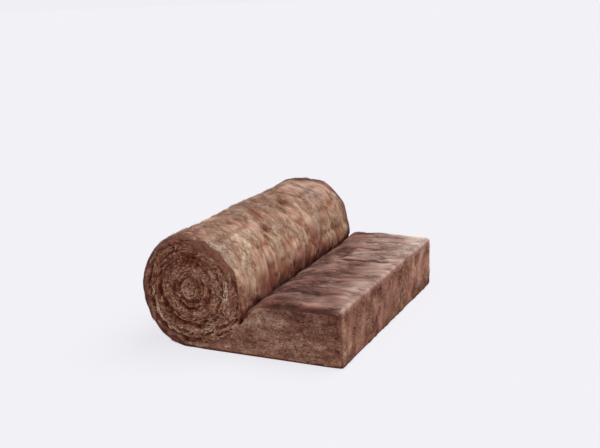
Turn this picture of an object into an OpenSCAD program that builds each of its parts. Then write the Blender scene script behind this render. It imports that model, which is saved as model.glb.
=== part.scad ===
// Mineral wool insulation blanket, part unrolled: a springy tail lies flat on the floor
// and the rest of the same blanket is still wound, squeezed thin, into a roll at one end.
// The section lies in X and Z and is the same across the whole width, along Y.

/* [Blanket] */
// Width of the blanket, which is also the length of the roll
blanket_w = 1200; // [600:10:1300]
// Thickness of the blanket where it has been let out and has sprung back
blanket_t = 260; // [200:5:320]
// Length of the tail, from the roll's axis to the cut end
tail_len = 722; // [560:1:1200]
// Rounding of the cut end's top and bottom edges
edge_r = 14; // [4:1:40]

/* [Roll] */
// Radius of the roll where it rests on the floor
roll_r = 277; // [225:1:340]
// Thickness of one squeezed turn, and so the pitch of the spiral
turn_t = 35; // [25:1:45]
// Radius at which the innermost turn closes on itself
eye_r = 14; // [10:1:30]
// How far the roll settles into the floor under its own weight
roll_sag = 6; // [2:1:12]

/* [Nip between roll and tail] */
// How far below the tail's top face the roll lands on the tail
nip_drop = 97; // [60:1:120]
// Radius of the tail's shoulder, which swells up from the nip to full thickness
shoulder_r = 320; // [240:5:420]

/* [Turn seams on both ends] */
// Width of the seam between two turns
seam_w = 5; // [3:0.5:8]
// Depth of the seam into the end of the roll
seam_depth = 12; // [4:1:30]

/* [Hidden] */

outline_step = 3;  // degrees between points of the roll's outer surface and of the shoulder
seam_step = 10;    // degrees between points of a seam
corner_step = 15;  // degrees between points of a rounded edge
nip_rounds = 6;    // rounds that settle the nip's angle to well under a micron
seam_lead = 2;     // degrees by which a seam starts before the nip, to open into it cleanly
overrun = 1;       // how far a seam's cutter reaches past the end of the roll

// The blanket's outer face is one spiral about the roll's axis. It leaves the floor straight below
// the axis, climbs the far side of the roll, goes over the top and comes down to the nip. From
// there on it is the seam between the turns, down to the eye. Wound angles count from the floor.
axis_z = roll_r - roll_sag;
function face_r(wound) = roll_r - turn_t * wound / 360;
function face_point(wound, out = 0) =
    [0, axis_z] + (face_r(wound) + out) * [cos(-90 - wound), sin(-90 - wound)];

// The nip's height comes from the tail. Its angle below the axis and the spiral's radius there
// depend on each other.
function settle(angle, rounds) =
    rounds == 0 ? angle
        : settle(asin((axis_z - blanket_t + nip_drop) / face_r(270 + angle)), rounds - 1);
nip_wound = 270 + settle(0, nip_rounds);
eye_wound = 360 * (roll_r - eye_r) / turn_t;
nip = face_point(nip_wound);

// The shoulder is an arc that starts at the nip and ends level with the tail's top face.
shoulder_angle = acos(1 - (blanket_t - nip[1]) / shoulder_r);
shoulder_x = nip[0] + shoulder_r * sin(shoulder_angle);

// Values from one number to another, in equal steps no longer than the one given.
function spread(from, to, step) =
    let (count = ceil(abs(to - from) / step))
        [for (i = [0 : count]) from + (to - from) * i / count];
function arc(centre, r, from, to, step) =
    [for (a = spread(from, to, step)) centre + r * [cos(a), sin(a)]];

// The roll's underside is cut off level where it has settled.
roll_outline = [
    for (w = spread(0, nip_wound, outline_step))
        let (p = face_point(w)) [p[0], max(p[1], 0)]
];
tail_outline = concat(
    arc([shoulder_x, blanket_t - shoulder_r], shoulder_r, 90 + shoulder_angle, 90, outline_step),
    arc([tail_len - edge_r, blanket_t - edge_r], edge_r, 90, 0, corner_step),
    arc([tail_len - edge_r, edge_r], edge_r, 0, -90, corner_step)
);
// The nip is the last point of the one and the first of the other.
section = concat([for (i = [0 : len(roll_outline) - 2]) roll_outline[i]], tail_outline);

seam_section = concat(
    [for (w = spread(nip_wound - seam_lead, eye_wound, seam_step)) face_point(w, seam_w / 2)],
    [for (w = spread(eye_wound, nip_wound - seam_lead, seam_step)) face_point(w, -seam_w / 2)]
);

// The origin is the middle of the footprint's bounding box.
centre_x = (min([for (p = section) p[0]]) + tail_len) / 2;

// Stands a section up in X and Z, from one Y to the next.
module across(from_y, to_y)
    translate([-centre_x, to_y, 0])
        rotate([90, 0, 0])
            linear_extrude(height = to_y - from_y)
                children();

module end_seams() {
    half_w = blanket_w / 2;
    across(-half_w - overrun, -half_w + seam_depth) polygon(seam_section);
    across(half_w - seam_depth, half_w + overrun) polygon(seam_section);
}

module wool_blanket()
    color([0.48, 0.34, 0.26])
        difference() {
            across(-blanket_w / 2, blanket_w / 2) polygon(section);
            end_seams();
        }

wool_blanket();
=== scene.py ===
"""Looks of a part-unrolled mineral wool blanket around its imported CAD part.

One closed mesh carries the blanket's whole surface: lumps, creases, streaks, the turns on both ends.
Loose fibres lie on it as separate pieces, one for each area, laid the way the wool was laid.
Wound angles, and theta, are in degrees, clockwise from straight below the roll's axis.
"""
import math
from collections import namedtuple

import bpy
import numpy as np
from mathutils import Matrix, Vector
from mathutils.geometry import delaunay_2d_cdt


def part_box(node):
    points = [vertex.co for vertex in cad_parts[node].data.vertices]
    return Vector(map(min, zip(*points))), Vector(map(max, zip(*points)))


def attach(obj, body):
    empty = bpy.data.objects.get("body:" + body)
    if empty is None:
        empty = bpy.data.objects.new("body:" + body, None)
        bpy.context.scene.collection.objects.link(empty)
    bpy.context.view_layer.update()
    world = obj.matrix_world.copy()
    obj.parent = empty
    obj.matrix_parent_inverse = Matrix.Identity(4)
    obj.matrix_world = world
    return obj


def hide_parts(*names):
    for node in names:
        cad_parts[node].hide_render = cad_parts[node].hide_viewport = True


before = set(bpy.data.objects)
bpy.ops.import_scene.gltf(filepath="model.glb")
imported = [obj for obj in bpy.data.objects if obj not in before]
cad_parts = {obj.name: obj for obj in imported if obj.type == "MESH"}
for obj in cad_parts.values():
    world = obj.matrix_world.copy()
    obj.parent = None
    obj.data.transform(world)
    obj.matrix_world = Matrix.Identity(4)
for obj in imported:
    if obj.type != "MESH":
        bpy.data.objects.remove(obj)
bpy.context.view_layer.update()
low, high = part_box("wool_blanket")

# ---- sizes, in metres, as the CAD has them
ROLL_R = 0.277
SAG = 0.006
TURN = 0.035
EYE_R = 0.014
THICK = 0.260
NIP_DROP = 0.097
SHOULDER_R = 0.320
EDGE_R = 0.014
TAIL = 0.722
HALF_W = high.y
AXIS = np.array([high.x - TAIL, ROLL_R - SAG])  # x and z of the roll's axis
# Between these distances from the axis the top turns into the cut end.
CUT_FROM, CUT_BY = 0.69, 0.716

rng = np.random.default_rng(20)


# ---- seeded noise
PERM = np.random.default_rng(5).permutation(256)
PERM = np.concatenate([PERM, PERM, PERM])
GRADS = np.array(
    [[x, y, 0] for x in (-1, 1) for y in (-1, 1)]
    + [[x, 0, z] for x in (-1, 1) for z in (-1, 1)]
    + [[0, y, z] for y in (-1, 1) for z in (-1, 1)],
    float,
)


def noise(*where):
    """Gradient noise from about -1 to 1 at points given by one, two or three arrays."""
    where = [np.asarray(w, float) for w in where] + [np.zeros(1)] * (3 - len(where))
    p = np.stack(np.broadcast_arrays(*where), -1)
    cell = np.floor(p).astype(np.int64)
    f = p - cell
    ease = f * f * f * (f * (f * 6 - 15) + 10)
    cell &= 255
    total = 0.0
    for dx in (0, 1):
        for dy in (0, 1):
            for dz in (0, 1):
                h = PERM[PERM[PERM[cell[..., 0] + dx] + cell[..., 1] + dy] + cell[..., 2] + dz]
                g = GRADS[h % 12]
                corner = np.array([dx, dy, dz])
                share = np.prod(np.where(corner == 1, ease, 1 - ease), -1)
                total = total + share * (g * (f - corner)).sum(-1)
    return total * 1.5


def rough(*where, octaves=3, gain=0.5):
    """Noise summed over octaves, from about -1 to 1."""
    total, size, scale = 0.0, 1.0, 1.0
    for i in range(octaves):
        total = total + size * noise(*[np.asarray(w) * scale + 17.3 * i for w in where])
        size *= gain
        scale *= 2.03
    return total


def smooth(low_edge, high_edge, x):
    t = np.clip((x - low_edge) / (high_edge - low_edge), 0, 1)
    return t * t * (3 - 2 * t)


def bump_at(x, centre, width):
    return np.exp(-(((x - centre) / width) ** 2))


def angle_of(dx, dz):
    """Degrees clockwise from straight down."""
    return (np.degrees(np.arctan2(dx, dz)) + 180) % 360


def tufts(*where):
    """Rounded tufts with creases between them, from about -1 to 1."""
    return 2.6 * np.sqrt(noise(*where) ** 2 + 0.012) - 0.95


# What stands out on the roll's face: its wound angle and reach in degrees, its y and reach,
# and how much lighter, redder, greyer and more frayed the wool is there.
PATCHES = [
    (246, 12, -0.372, 0.055, 0.05, 0.12, 0.0, -0.8),
    (270, 10, -0.300, 0.080, -0.12, 0.35, 0.0, -0.7),
    (268, 10, 0.010, 0.070, -0.09, 0.15, 0.5, -0.6),
    (262, 13, 0.213, 0.070, -0.11, 0.10, 0.6, -0.3),
    (241, 12, -0.190, 0.050, 0.07, -0.2, -0.5, 0.7),
    (242, 14, 0.050, 0.070, 0.06, -0.2, -0.5, 0.7),
    (209, 11, -0.200, 0.055, 0.02, 0.15, 0.1, -0.8),
    (209, 15, 0.410, 0.100, 0.00, 0.10, 0.6, -0.2),
    (216, 12, -0.400, 0.060, 0.06, -0.2, -0.4, 0.8),
    (244, 14, -0.500, 0.045, 0.05, -0.1, -0.2, 0.8),
    (266, 14, -0.485, 0.045, 0.24, 0.0, 0.0, -0.8),
    (279, 7, -0.535, 0.055, 0.20, -0.2, 0.0, -0.5),
    # From here on the rows are painted shade: the roll's face is painted darker and redder, mostly in its
    # dents and dimples.
    (208, 18, 0.050, 0.180, -0.10, 0.0, 0.0, 0.0),
    (226, 11, -0.165, 0.030, -0.17, 0.0, 0.0, 0.0),
    (222, 9, -0.165, 0.035, 0.0, 0.60, 0.0, 0.0),
    (262, 9, -0.320, 0.020, -0.12, 0.0, 0.0, 0.0),
    (262, 9, -0.320, 0.025, 0.0, 0.50, 0.0, 0.0),
    (256, 10, 0.168, 0.060, -0.10, 0.0, 0.0, 0.0),
    (256, 14, 0.168, 0.070, 0.0, 0.40, 0.0, 0.0),
    (202, 6, 0.160, 0.040, -0.12, 0.0, 0.0, 0.0),
    (202, 8, 0.160, 0.050, 0.0, 0.50, 0.0, 0.0),
    (191, 12, -0.108, 0.050, 0.0, 0.35, 0.0, 0.0),
]
AMOUNT, REDDER, GREYER, FRAYED = 4, 5, 6, 7

# Dents and bulges of the roll's face: wound angle and reach, y and reach, and height.
DENTS = [
    (221, 8, -0.165, 0.030, -0.020),
    (232, 9, -0.215, 0.022, -0.010),
    (262, 11, -0.320, 0.020, -0.012),
    (201, 9, 0.160, 0.040, -0.018),
    (215, 12, 0.020, 0.030, 0.008),
    (240, 14, -0.400, 0.050, 0.008),
    (252, 10, 0.160, 0.050, -0.010),
    (190, 14, -0.300, 0.080, -0.006),
    (130, 16, 0.200, 0.060, -0.014),
    (95, 14, -0.200, 0.050, -0.014),
    (150, 12, -0.350, 0.040, -0.010),
]

# Light and dark patches of the tail, each with its middle and reach both ways, and how much lighter it is:
# on the top by distance from the roll's axis and y, on the near end by that distance and height,
# and on the cut end by y and height.
TOP_PATCHES = [
    (0.370, 0.060, -0.460, 0.060, 0.10),
    (0.580, 0.100, -0.520, 0.050, 0.22),
    (0.620, 0.090, -0.290, 0.040, 0.15),
    (0.555, 0.050, -0.480, 0.035, 0.14),
    (0.620, 0.042, -0.490, 0.034, -0.24),
    (0.537, 0.055, -0.300, 0.048, 0.27),
    (0.575, 0.050, -0.210, 0.040, 0.10),
    (0.678, 0.040, -0.410, 0.075, 0.17),
    (0.680, 0.040, -0.190, 0.050, 0.09),
    (0.688, 0.030, 0.015, 0.050, -0.07),
    (0.420, 0.050, -0.260, 0.050, -0.03),
    (0.490, 0.070, 0.500, 0.050, -0.08),
    (0.604, 0.050, 0.500, 0.050, -0.06),
    (0.680, 0.040, 0.520, 0.050, 0.10),
    (0.500, 0.060, 0.180, 0.060, 0.26),
    (0.588, 0.050, 0.150, 0.050, 0.07),
    (0.375, 0.050, 0.290, 0.070, -0.24),
]
NEAR_PATCHES = [
    (0.520, 0.080, 0.130, 0.030, -0.07),
    (0.340, 0.055, 0.153, 0.034, 0.16),
    (0.563, 0.080, 0.059, 0.025, 0.04),
    (0.680, 0.050, 0.174, 0.040, -0.07),
]
CUT_PATCHES = [
    (-0.538, 0.050, 0.066, 0.040, 0.14),
    (0.377, 0.090, 0.170, 0.050, 0.11),
    (0.464, 0.060, 0.225, 0.030, 0.06),
    (0.462, 0.080, 0.063, 0.030, 0.07),
]
# The gaps between turns on an end, by wound angle and distance from the axis, and how deep each is.
# Those at the bottom have their angle counted from straight up, so that none is broken at 360.
GAPS = [
    (88, 34, 0.173, 0.010, 1.0),
    (88, 34, 0.234, 0.006, 0.9),
    (277, 32, 0.104, 0.009, 1.0),
    (262, 36, 0.219, 0.007, 0.8),
]
BOTTOM_GAPS = [
    (190, 55, 0.232, 0.007, 1.0),
    (190, 55, 0.160, 0.010, 0.9),
    (190, 55, 0.092, 0.008, 1.0),
]
# Light and dark arcs on an end, in the same way.
ARCS = [
    (280, 28, 0.165, 0.018, 0.26),
    (66, 22, 0.212, 0.013, 0.28),
    (184, 20, 0.150, 0.028, -0.30),
]
BOTTOM_ARCS = [
    (185, 40, 0.107, 0.008, 0.17),
    (185, 40, 0.196, 0.010, 0.17),
]

# Thin creases painted dark across the tail's top, as painted shade: from and to which distance from the
# roll's axis, y where it starts, how much y grows with that distance, half its width, and how much darker it
# is painted.
CREASES = [
    (0.43, 0.69, 0.086, 0.14, 0.0085, 0.62),
    (0.44, 0.57, 0.298, -0.05, 0.0110, 0.38),
    (0.43, 0.66, -0.204, 0.22, 0.0085, 0.30),
]


def crease_shade(x, y):
    """How much darker the creases are painted on the tail's top at distance x from the axis, as painted
    shade.
    """
    total = 0
    for start, end, at, slope, half_width, darker in CREASES:
        middle = at + slope * (x - start) + 0.005 * noise(x / 0.04, at)
        there = smooth(start - 0.03, start + 0.03, x) * smooth(end + 0.03, end - 0.03, x)
        total = total + darker * there * bump_at(y, middle, half_width)
    return total


def spots(table, a, b, column=AMOUNT):
    """Sum of a table's soft spots at (a, b). A row has a middle and reach along each, then amounts."""
    return sum(row[column] * bump_at(a, row[0], row[1]) * bump_at(b, row[2], row[3]) for row in table)


# ---- the section
def face_r(wound):
    return ROLL_R - TURN * wound / 360


def face_point(wound, out=0.0):
    a = np.radians(-90 - wound)
    r = face_r(wound) + out
    return np.stack([AXIS[0] + r * np.cos(a), AXIS[1] + r * np.sin(a)], -1)


angle = 0.0
for _ in range(6):
    angle = math.degrees(math.asin((AXIS[1] - THICK + NIP_DROP) / face_r(270 + angle)))
NIP = 270 + angle
nip = face_point(NIP)
SHOULDER_ANGLE = math.degrees(math.acos(1 - (THICK - nip[1]) / SHOULDER_R))
SHOULDER_X = nip[0] + SHOULDER_R * math.sin(math.radians(SHOULDER_ANGLE))
TIP_X = high.x


def arc_length(wound):
    """Length of blanket from the floor under the axis to this wound angle, along its outer face."""
    return np.radians(wound) * (ROLL_R - TURN * np.asarray(wound) / 720)


def steps(a, b, size):
    return np.linspace(a, b, max(int(math.ceil(abs(b - a) / size)), 1) + 1)


def arc(x, z, r, degrees):
    a = np.radians(degrees)
    return np.stack([x + r * np.cos(a), z + r * np.sin(a)], -1)


ROLL, SLOT, TOP, CUT, FLOOR = range(5)
GRID = 0.0068          # spacing of the shell's points
SLOT_DEG = 5.0         # how far the crease between roll and tail goes in past the nip
SLOT_W = 0.011         # its width at the mouth
SLOT_STEP = 1.3        # degrees between its points
CORNER_STEP = 22.5     # degrees between points of a rounded edge
FLOOR_STEPS = 38       # steps along the underside

parts = []             # (x and z, kind)
on_roll = face_point(steps(0, NIP, math.degrees(GRID / ROLL_R)))
on_roll[:, 1] = np.maximum(on_roll[:, 1], 0)
parts.append((on_roll[:-1], ROLL))
slot_wound = steps(NIP, NIP + SLOT_DEG, SLOT_STEP)
taper = np.sqrt(np.clip(1 - (slot_wound - NIP) / SLOT_DEG, 0, 1))
parts.append((face_point(slot_wound, -SLOT_W * taper * 0.5), SLOT))
parts.append((face_point(slot_wound, SLOT_W * taper * 0.5)[::-1][1:], SLOT))
shoulder = 90 + steps(SHOULDER_ANGLE, 0, math.degrees(GRID / SHOULDER_R))
parts.append((arc(SHOULDER_X, THICK - SHOULDER_R, SHOULDER_R, shoulder)[1:], TOP))
top_x = steps(SHOULDER_X, TIP_X - EDGE_R, GRID)
parts.append((np.stack([top_x, np.full_like(top_x, THICK)], -1)[1:], TOP))
parts.append((arc(TIP_X - EDGE_R, THICK - EDGE_R, EDGE_R, steps(90, 0, CORNER_STEP))[1:], TOP))
cut_z = steps(THICK - EDGE_R, EDGE_R, GRID)
parts.append((np.stack([np.full_like(cut_z, TIP_X), cut_z], -1)[1:], CUT))
parts.append((arc(TIP_X - EDGE_R, EDGE_R, EDGE_R, steps(0, -90, CORNER_STEP))[1:], CUT))
floor_x = TIP_X - EDGE_R - (TIP_X - EDGE_R - AXIS[0]) * steps(0, 1, 1 / FLOOR_STEPS)
parts.append((np.stack([floor_x, np.zeros_like(floor_x)], -1)[1:-1], FLOOR))

base = np.concatenate([points for points, _ in parts])
kind = np.concatenate([np.full(len(points), part_kind) for points, part_kind in parts])
count = len(base)
ahead, behind = np.roll(base, -1, 0) - base, base - np.roll(base, 1, 0)
gap = np.linalg.norm(ahead, axis=1)
along = np.concatenate([[0], np.cumsum(gap)[:-1]])          # run of the section, from the floor on
tangent = ahead / gap[:, None] + behind / np.linalg.norm(behind, axis=1)[:, None]
tangent /= np.maximum(np.linalg.norm(tangent, axis=1), 1e-9)[:, None]
outward = np.stack([-tangent[:, 1], tangent[:, 0]], -1)     # the section runs clockwise


# ---- the shell: section rows by columns along Y
ROUND = 0.009          # rounding between the faces and the two ends
inner = steps(-HALF_W + ROUND, HALF_W - ROUND, GRID)
turn_in = np.radians([30, 60, 90])
Y = np.concatenate([
    -(HALF_W - ROUND + ROUND * np.sin(turn_in))[::-1], inner, HALF_W - ROUND + ROUND * np.sin(turn_in)])
inset = np.concatenate([
    (ROUND * (1 - np.cos(turn_in)))[::-1], np.zeros(len(inner)), ROUND * (1 - np.cos(turn_in))])
columns = len(Y)


def eased(values, reach=6):
    """Blends a value per row over its neighbours, round the closed section."""
    window = np.hanning(2 * reach + 1)
    padded = np.concatenate([values[-reach:], values, values[:reach]])
    return np.convolve(padded, window / window.sum(), "valid")


S = along[:, None]
YY = Y[None, :]
wound = np.where(kind == ROLL, angle_of(base[:, 0] - AXIS[0], base[:, 1] - AXIS[1]), 0)[:, None]
is_roll = eased((kind == ROLL).astype(float), 4)[:, None]
is_top = eased((kind == TOP).astype(float), 3)[:, None]
is_cut = eased((kind == CUT).astype(float), 2)[:, None]
nip_row = int(np.argmax(kind == SLOT))
from_nip = np.minimum(np.abs(along - along[nip_row]), 1)[:, None]
slot_end = int(np.argmax(kind == TOP))
from_shoulder = np.abs(along - along[slot_end])[:, None]
off_floor = smooth(0.0, 0.06, base[:, 1])[:, None]
free = np.where((kind == SLOT) | (kind == FLOOR), 0.0, 1.0)[:, None]     # 0 where the relief has to fade out
free = free * (0.25 + 0.75 * smooth(0, 0.05, np.minimum(from_nip, from_shoulder)))

lumps = 0.0080 * rough(S / 0.27, YY / 0.22, octaves=2) + 0.0042 * rough(S / 0.10 + 5, YY / 0.075, octaves=2)
slant = YY + 0.12 * S + 0.016 * noise(S / 0.11 + 70, YY / 0.08)
frayed = smooth(-0.30, 0.40, noise(S / 0.16 + 50, YY / 0.11 + 8))        # matted smooth elsewhere
frayed = np.clip(frayed + spots(PATCHES, wound, YY, FRAYED), 0, 1)
streaks = (
    0.0022 * tufts(S / 0.060 + 31, slant / 0.038) + 0.0011 * tufts(S / 0.036 + 3, slant / 0.020 + 9)
    + 0.0008 * noise(S / 0.024 + 61, slant / 0.014)
) * (0.35 + 0.65 * frayed)
creases = np.exp(-((noise(S / 0.24 + 11, slant / 0.15 + 7) / 0.10) ** 2))
even = 1 - 0.6 * smooth(-0.35, -0.52, YY) * smooth(185, 150, wound)      # smoother on the near left
roll_h = even * (lumps + streaks - 0.0045 * creases + spots(DENTS, wound, YY))

XT = base[:, 0][:, None] - AXIS[0] + 0 * YY
wave_y = YY + 0.016 * noise(XT / 0.13 + 3, YY / 0.2) - 0.10 * (XT - 0.5)
folds = np.maximum(0, 1 - np.abs(noise(XT / 0.42 + 40, wave_y / 0.105 + 3)) / 0.11) ** 1.2
pleats = rough(XT / 0.34 + 7, wave_y / 0.085 + 30, octaves=2)
calm = smooth(-0.55, -0.25, YY)                                          # flatter towards the near end
crease_y = 0.087 + 0.14 * (XT - 0.43) + 0.006 * noise(XT / 0.04, YY * 0)
cut_crease = bump_at(YY, crease_y, 0.009) * smooth(0.36, 0.46, XT) * smooth(0.73, 0.62, XT)
near_dip = smooth(-HALF_W + 0.055, -HALF_W, YY) ** 2 * smooth(0.29, 0.40, XT) * smooth(0.705, 0.64, XT)
top_h = 0.6 * lumps + 0.22 * streaks - (0.0026 + 0.0075 * calm) * folds + (0.0030 + 0.0030 * calm) * pleats
top_h = top_h - 0.012 * cut_crease - 0.012 * near_dip

ZC = base[:, 1][:, None] + 0 * YY
cut_h = (
    0.0035 * rough(ZC / 0.16, YY / 0.18 + 3, octaves=2)
    + 0.0012 * tufts((ZC + 0.6 * YY) / 0.050, (YY - 0.6 * ZC) / 0.022)
    + 0.0012 * noise(ZC / 0.016 + YY / 0.05, YY / 0.014)
)
arris = np.hypot(base[:, 0] - TIP_X, base[:, 1] - THICK)[:, None]       # the cut end's crisp top edge
free = free * (0.35 + 0.65 * smooth(0.008, 0.050, arris))
free = free * np.where(kind == CUT, smooth(0.0, 0.11, base[:, 1]), 1)[:, None]
H = free * off_floor * (is_roll * roll_h + is_top * top_h + is_cut * cut_h)


def blurred(field, rounds):
    """Averages each point with its neighbours, again and again. The section is closed, the width isn't."""
    for _ in range(rounds):
        field = (np.roll(field, 1, 0) + field + np.roll(field, -1, 0)) / 3
        wide = np.pad(field, ((0, 0), (1, 1)), mode="edge")
        field = (wide[:, :-2] + wide[:, 1:-1] + wide[:, 2:]) / 3
    return field


# Painted light and shade of the relief, at two scales: raised wool is painted lighter, as a painted
# highlight, and hollows darker, as painted shade.
relief_shading = (
    (0.11 - 0.04 * is_top - 0.05 * is_cut) * np.tanh((H - blurred(H, 5)) / 0.0018)
    + (0.06 + 0.03 * is_top - 0.03 * is_cut) * np.tanh((blurred(H, 3) - blurred(H, 60)) / 0.0045)
    + 0.05 * is_roll * (frayed - 0.45)
)
fray_shell = is_roll * (0.08 + 0.56 * frayed) + is_top * (0.10 + 0.08 * frayed) + is_cut * 0.70
# How much of the rounding at the ends each kind of row takes.
EDGE_SHARES = {ROLL: 1.0, TOP: 0.8, CUT: 0.8, SLOT: 0.2, FLOOR: 0.15}
edge_share = eased(np.array([EDGE_SHARES[k] for k in kind]), 3)[:, None]
ragged = 1 + (0.15 + 0.35 * smooth(160, 200, wound)) * noise(S / 0.05, YY * 0 + 3.7)
H = H - edge_share * inset[None, :] * ragged
ends_in = np.stack([rough(along / 0.07, np.full(count, end * 9.1), octaves=3) for end in (0, 1)])
ends_in = np.clip(0.0010 + 0.0030 * ends_in, -0.001, 0.012) * smooth(-0.01, 0.05, base[:, 1])
near_share = smooth(0.06, 0.0, YY + HALF_W)
far_share = smooth(0.06, 0.0, HALF_W - YY)
X = base[:, 0][:, None] + outward[:, 0][:, None] * H
Z = np.maximum(base[:, 1][:, None] + outward[:, 1][:, None] * H, 0)
YG = YY + near_share * ends_in[0][:, None] - far_share * ends_in[1][:, None]
shell = np.stack([X, np.broadcast_to(YG, X.shape), Z], -1)      # rows, columns, xyz


# ---- where a point lies in the wool
def in_wool(x, z):
    """Wound angle, distance in from the turn's outer face, whether it is in the tail, and off the axis."""
    dx, dz = x - AXIS[0], z - AXIS[1]
    r = np.hypot(dx, dz)
    theta = angle_of(dx, dz)
    turns = (ROLL_R - r) / TURN - theta / 360
    k = np.floor(turns)
    tail = ((turns < -1e-6) & (theta > NIP - 3)) | ((dx > 0) & (theta > 262) & (turns < -0.75))
    k = np.maximum(k, 0)
    return theta + 360 * k, np.clip(turns - k, 0, 1) * TURN, tail, r


EndParts = namedtuple("EndParts", "wound inward tail r seam pits crumbs patch")
END_SEED = {-1: 3.0, 1: 23.0}


def end_parts(x, z, side):
    """What shapes an end: the seams between turns, pits, crumbs, the smooth patch, and whether it is tail."""
    seed = END_SEED[side]
    warp = 0.0080 * rough(x / 0.085 + seed, z / 0.085, octaves=2)
    warp = warp + 0.0026 * noise(x / 0.024 + seed, z / 0.024)
    dx, dz = x - AXIS[0], z - AXIS[1]
    off = np.maximum(np.hypot(dx, dz), 1e-4)
    core_shift = 0.036 * np.exp(-(off / 0.12) ** 2)                  # the core sits off centre
    wnd, inward, tail, r = in_wool(x + dx / off * warp + core_shift, z + dz / off * warp)
    theta = wnd % 360
    patch = smooth(172, 188, theta) * smooth(254, 238, theta)
    patch = patch * smooth(0.183, 0.200, r) * smooth(0.268, 0.252, r) * (1.0 if side < 0 else 0.3)
    near_seam = np.minimum(inward, TURN - inward)
    seam = 0.7 * np.exp(-(near_seam / 0.0042) ** 2) * np.where((wnd > NIP) | (inward > TURN / 2), 1, 0)
    seam = seam * np.clip(0.50 + 1.7 * noise(wnd / 34 + seed, wnd / 170), 0, 1.35)
    seam = seam * (0.6 + 0.4 * np.cos(np.radians(theta - 15)))
    lost = np.clip(0.7 + 1.2 * noise(x / 0.035 + seed, z / 0.035), 0.1, 1)          # the big gaps come and go
    gaps = spots(GAPS, theta, r) + spots(BOTTOM_GAPS, (theta + 180) % 360, r)
    seam = np.maximum(seam, np.clip(gaps * lost * 1.4, 0, 1.1)) * (1 - patch) * ~tail
    u = np.radians(wnd) * r
    pits = noise(u / 0.032 + seed, inward / 0.019, wnd / 360) + 0.30 * noise(x / 0.013, z / 0.013 + seed)
    pits = smooth(0.20, 0.60, pits) * smooth(-0.30, 0.30, noise(x / 0.060 + seed, z / 0.060))
    big_pit = 0.8 * bump_at(theta, 183, 20) * bump_at(r, 0.145, 0.022)
    pits = np.maximum(pits, big_pit * smooth(-0.2, 0.3, noise(x / 0.017, z / 0.015)))
    crumbs = smooth(0.12, 0.50, noise(u / 0.026 + seed + 40, inward / 0.015, wnd / 360 + 7)) * (1 - pits)
    rim = smooth(0.234, 0.242, r) * (1 - bump_at(theta, 225, 50))
    both = np.where(tail, 0.6, 1 - 0.7 * rim) * (1 - patch)
    return EndParts(wnd, inward, tail, r, seam, pits * both, crumbs * both, patch)


def end_depth(x, z, side):
    """How far in from the end's plane the cut wool lies."""
    e = end_parts(x, z, side)
    seed = END_SEED[side]
    turn_no = e.wound / 360
    u = np.radians(e.wound) * e.r
    torn = 0.0035 * rough(u / 0.035 + seed, e.inward / 0.014, turn_no, octaves=2)
    torn = (torn + 0.0030 * noise(x / 0.030 + seed, z / 0.024)) * (1 - 0.8 * e.patch)
    telescoped = 0.011 * noise(turn_no * 1.3 + seed, e.wound / 250)
    roll_d = 0.012 + 0.017 * e.seam + 0.011 * e.pits - 0.005 * e.crumbs + torn + telescoped * (1 - e.patch)
    roll_d = roll_d + 0.012 * np.exp(-(e.r / 0.09) ** 2)
    roll_d = roll_d + 0.014 * np.exp(-((e.r - 0.055) / 0.012) ** 2) * (side < 0)
    roll_d = roll_d + 0.014 * e.patch + 0.016 * bump_at(x - AXIS[0], -0.179, 0.014) * bump_at(z, 0.262, 0.030)
    roll_d = roll_d - 0.004 * smooth(0.235, 0.255, e.r)
    tail_d = 0.003 + 0.0030 * rough(x / 0.045 + seed, z / 0.017, octaves=3)
    tail_d = tail_d + 0.004 * rough(x / 0.15, z / 0.10 + seed)
    tail_d = tail_d + 0.005 * e.pits - 0.003 * e.crumbs
    tail_d = tail_d + 0.003 * bump_at(z, THICK - 0.045, 0.025) - 0.002 * smooth(0.05, 0.0, z)
    return np.where(e.tail, tail_d + 0.014 * bump_at(e.r, face_r(e.wound), 0.006), roll_d)


def end_relief(x, z, side):
    """How far a point of an end stands out from what lies 8 mm round it."""
    ring = [(x + 0.008 * math.cos(a), z + 0.008 * math.sin(a)) for a in np.radians([0, 72, 144, 216, 288])]
    return sum(end_depth(*at, side) for at in ring) / len(ring) - end_depth(x, z, side)


# ---- both ends, meshed inside the shell's last rings
def inside(points, loop):
    x, z = points[:, 0][:, None], points[:, 1][:, None]
    a, b = loop, np.roll(loop, -1, 0)
    crosses = (a[:, 1] > z) != (b[:, 1] > z)
    with np.errstate(divide="ignore", invalid="ignore"):
        at = (b[:, 0] - a[:, 0]) * (z - a[:, 1]) / (b[:, 1] - a[:, 1]) + a[:, 0]
    return (crosses & (x < at)).sum(1) % 2 == 1


def distance(points, loop):
    a, b = loop, np.roll(loop, -1, 0)
    d = b - a
    t = ((points[:, None] - a) * d).sum(-1) / np.maximum((d * d).sum(-1), 1e-12)
    t = np.clip(t, 0, 1)[..., None]
    return np.linalg.norm(points[:, None] - a - d * t, axis=-1).min(1)


# Where points lie through a turn, as shares of it.
LEVELS = np.array([0.0, 0.13, 0.27, 0.42, 0.58, 0.73, 0.87])
TURN_STEP = 0.0056     # spacing of an end's points along a turn
TAIL_GRID = 0.0064     # and on the tail
RING_CLEAR = 0.0042    # an end's points keep this far off the shell's last ring


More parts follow.
